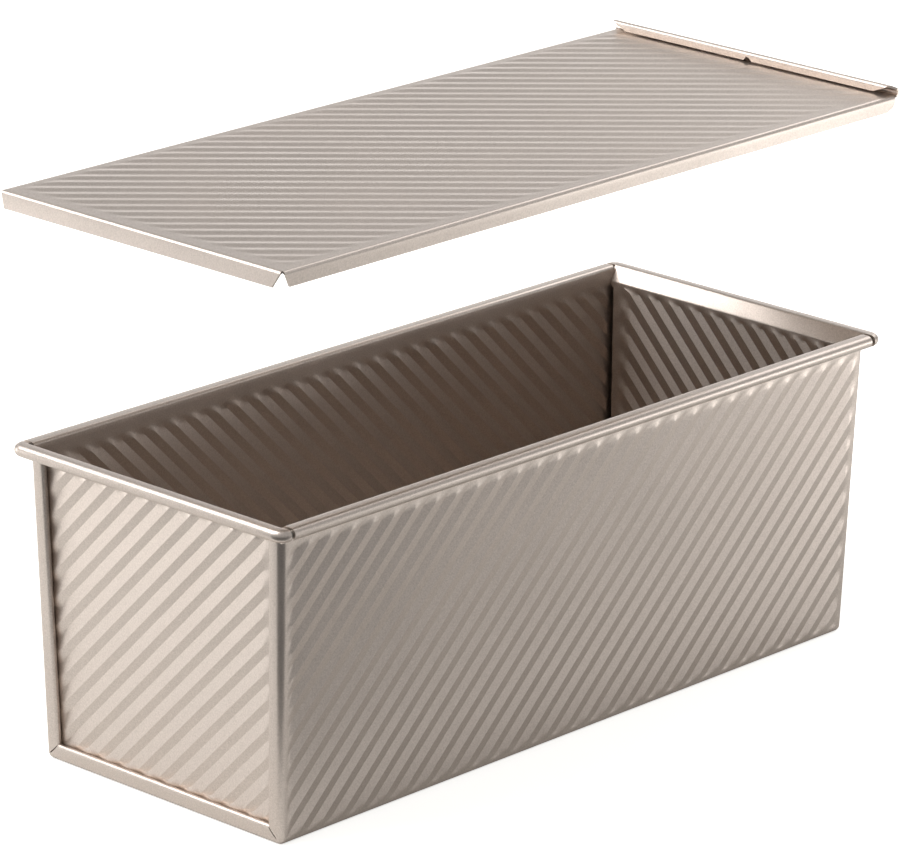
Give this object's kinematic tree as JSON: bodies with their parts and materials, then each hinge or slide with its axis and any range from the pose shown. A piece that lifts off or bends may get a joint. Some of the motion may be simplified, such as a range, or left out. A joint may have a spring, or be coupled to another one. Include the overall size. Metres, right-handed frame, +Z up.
{
  "type": "pullman loaf pan",
  "caption": "Long ribbed sheet-metal loaf pan with a rolled, wired rim, hooked-in end panels and a flanged lid held above it.",
  "frame": {"origin": "middle of the flat base, on the surface the pan stands on", "axes": "+X along the pan to the rear end where the lid's grip is, +Y to the left side, +Z up"},
  "size_m": [0.3234, 0.1388, 0.2157],
  "materials": {
    "coated_sheet": "satin champagne coating on aluminised steel sheet",
    "bare_wire": "drawn steel wire"
  },
  "bodies": {
    "pan": {"pan_body": "coated_sheet", "front_end_panel": "coated_sheet", "rear_end_panel": "coated_sheet", "rim_wire": "bare_wire"},
    "lid": {"lid": "coated_sheet"}
  },
  "joints": [
    {"name": "lid_lift", "type": "slide", "parent": "pan", "child": "lid", "axis": [0, 0, 1], "range_m": [-0.091, 0]}
  ]
}
